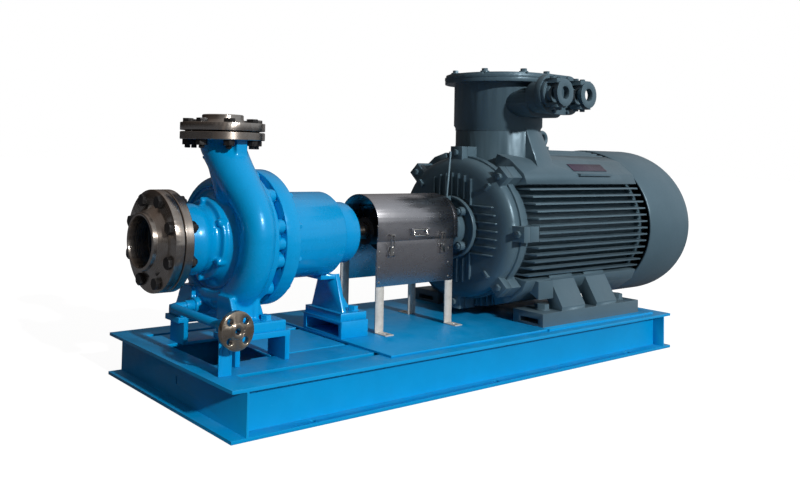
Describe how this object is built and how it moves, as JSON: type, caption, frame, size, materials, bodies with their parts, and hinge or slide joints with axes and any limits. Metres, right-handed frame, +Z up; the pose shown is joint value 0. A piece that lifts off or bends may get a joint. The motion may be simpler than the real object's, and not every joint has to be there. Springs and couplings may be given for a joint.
{
  "type": "centrifugal water pump",
  "caption": "Skid-mounted horizontal end-suction centrifugal water pump driven by a finned explosion-proof motor through a guarded spacer coupling.",
  "frame": {"origin": "centre of the skid underside", "axes": "+X along the shaft from suction to motor, +Z up, -Y towards the drain flange and cable outlets"},
  "size_m": [2.15, 0.608, 0.909],
  "materials": {
    "skid_blue": "satin",
    "pump_blue": "gloss",
    "machined_steel": "machined",
    "black_steel": "matt",
    "gasket_black": "matt",
    "guard_sheet": "bright sheet",
    "leg_grey": "satin",
    "motor_grey": "satin",
    "winding_copper": "varnished",
    "fan_black": "matt",
    "plate_violet": "etched"
  },
  "bodies": {
    "skid_set": {"base_frame": "skid_blue", "deck_plate": "skid_blue", "casing_pedestals": "skid_blue", "rear_pedestal": "skid_blue", "casing": "pump_blue", "suction_flange": "machined_steel", "discharge_flange": "machined_steel", "suction_gasket": "gasket_black", "discharge_gasket": "gasket_black", "suction_bolts": "black_steel", "discharge_bolts": "black_steel", "wear_ring": "machined_steel", "casing_cover": "pump_blue", "seal_gland": "machined_steel", "cover_studs": "black_steel", "bearing_frame": "pump_blue", "bearing_end_cap": "pump_blue", "bearing_outer_rings": "machined_steel", "rear_foot": "pump_blue", "foot_bolts": "pump_blue", "drain_pipe": "skid_blue", "drain_flange": "machined_steel", "drain_support": "skid_blue", "guard_body": "guard_sheet", "guard_legs": "leg_grey", "hinge_pin": "machined_steel", "guard_rivets": "leg_grey", "motor_frame": "motor_grey", "drive_end_shield": "motor_grey", "shield_bolts": "motor_grey", "motor_bearing_cap": "motor_grey", "grease_tube": "motor_grey", "rear_shield": "motor_grey", "stator": "winding_copper", "fan_cowl": "motor_grey", "terminal_box": "motor_grey", "terminal_lid": "motor_grey", "cable_outlet": "motor_grey", "cable_glands": "motor_grey", "nameplate": "plate_violet", "lifting_eye": "motor_grey", "motor_bolts": "motor_grey"},
    "pump_rotor": {"pump_shaft": "machined_steel", "impeller": "machined_steel", "impeller_nut": "machined_steel", "shaft_sleeve": "machined_steel", "seal_rotor": "gasket_black", "pump_inner_rings": "machined_steel", "pump_hub": "machined_steel", "spacer": "machined_steel", "coupling_bolts": "black_steel"},
    "motor_rotor": {"motor_shaft": "machined_steel", "motor_inner_rings": "machined_steel", "rotor_core": "machined_steel", "fan": "fan_black", "motor_hub": "machined_steel"},
    "guard_cover": {"guard_cover": "guard_sheet"},
    "guard_handle": {"guard_handle": "machined_steel"},
    "latch_pump_end": {"latch_pump_end": "machined_steel"},
    "latch_motor_end": {"latch_motor_end": "machined_steel"}
  },
  "joints": [
    {"name": "motor_spin", "type": "hinge", "parent": "skid_set", "child": "motor_rotor", "pos_m": [0, 0, 0.4], "axis": [1, 0, 0], "continuous": true},
    {"name": "pump_spin", "type": "hinge", "parent": "skid_set", "child": "pump_rotor", "pos_m": [0, 0, 0.4], "axis": [1, 0, 0], "continuous": true},
    {"name": "guard_cover_hinge", "type": "hinge", "parent": "skid_set", "child": "guard_cover", "pos_m": [0, 0.083, 0.392], "axis": [-1, 0, 0], "range_deg": [0, 110]},
    {"name": "guard_handle_swing", "type": "hinge", "parent": "guard_cover", "child": "guard_handle", "pos_m": [-0.09, -0.0835, 0.407], "axis": [-1, 0, 0], "range_deg": [0, 90]},
    {"name": "latch_pump_end_turn", "type": "hinge", "parent": "skid_set", "child": "latch_pump_end", "pos_m": [-0.205, -0.0825, 0.34], "axis": [1, 0, 0], "range_deg": [0, 110]},
    {"name": "latch_motor_end_turn", "type": "hinge", "parent": "skid_set", "child": "latch_motor_end", "pos_m": [0.008, -0.0825, 0.34], "axis": [1, 0, 0], "range_deg": [0, 110]}
  ],
  "couplings": [
    {"joint": "pump_spin", "follows": "motor_spin", "ratio": 1}
  ]
}
